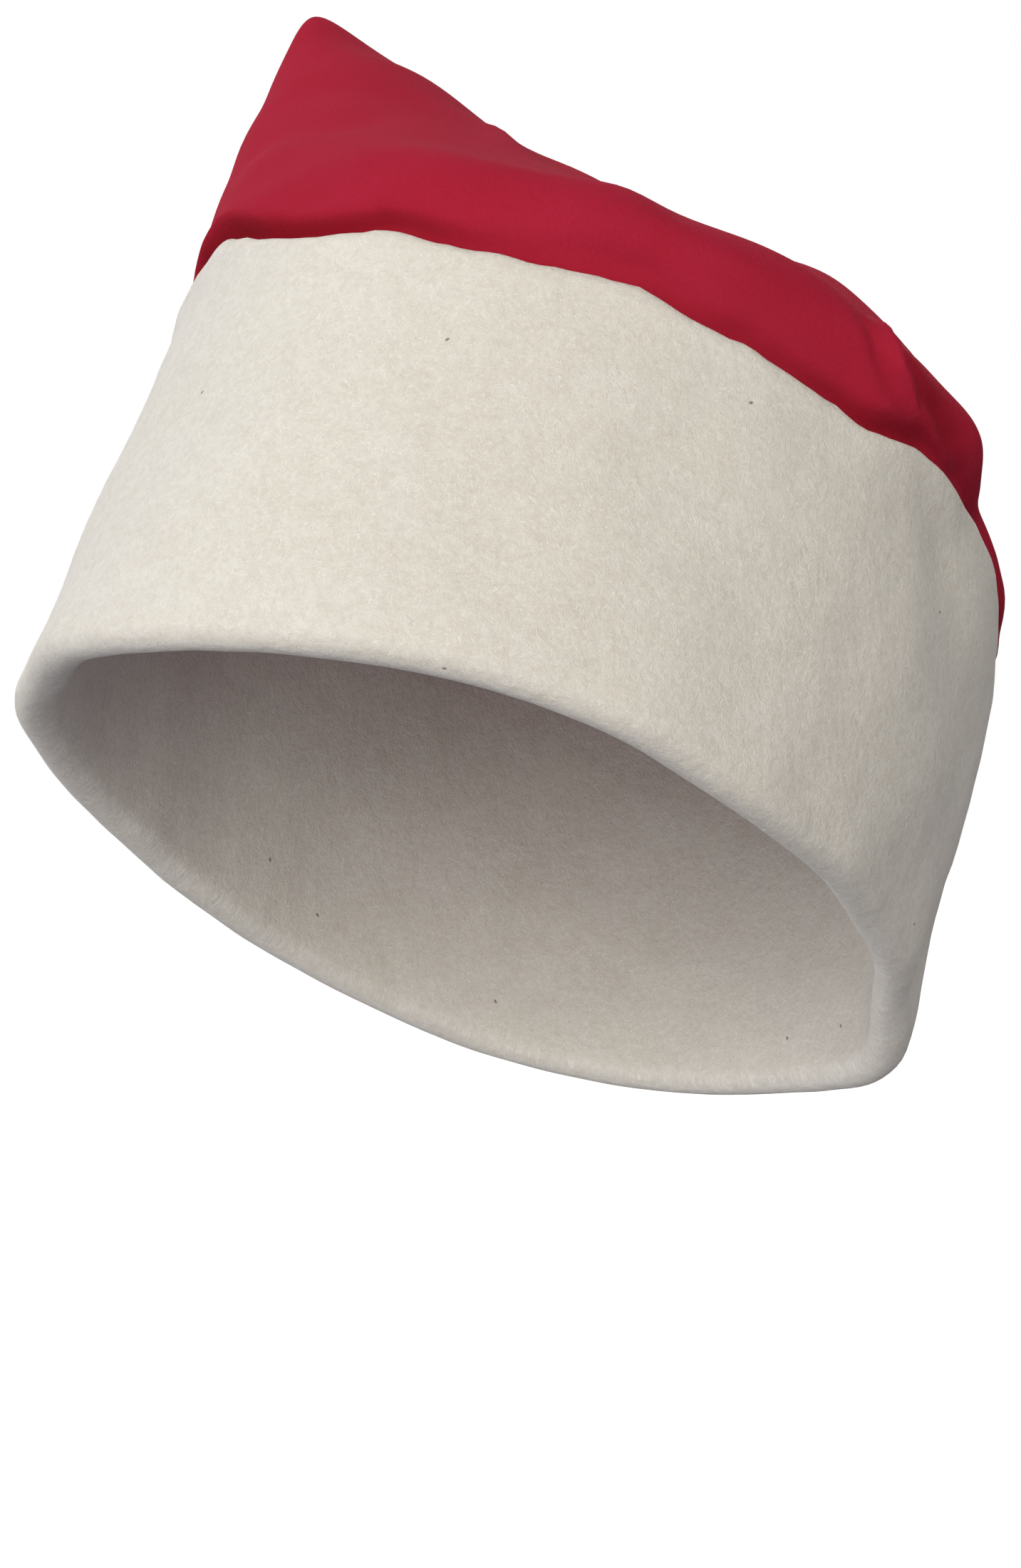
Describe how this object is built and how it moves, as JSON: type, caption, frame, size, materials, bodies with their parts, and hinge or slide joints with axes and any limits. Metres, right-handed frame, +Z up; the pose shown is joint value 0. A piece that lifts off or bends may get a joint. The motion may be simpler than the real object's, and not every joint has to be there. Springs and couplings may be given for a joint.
{
  "type": "santa hat",
  "caption": "Limp red felt cone hat as worn, tipped back, its upper part folded over behind, sewn into a deep plain white double cuff with a rolled lower edge.",
  "frame": {"origin": "middle of the rim opening, where the hat sits on an upright head", "axes": "+Z up along the head, -Y the wearer's front, +X the wearer's left; the hat's own axis leans back by 27 degrees about X"},
  "size_m": [0.1778, 0.2243, 0.2294],
  "materials": {
    "red_felt": "matt crimson wool-like felt with a short nap, darker in the folds and along the seam",
    "white_felt": "off-white felt with short crossing fibres, a few of them glossy, in soft mottled hollows"
  },
  "bodies": {
    "root": {"crown": "red_felt", "cuff": "white_felt"}
  },
  "joints": []
}
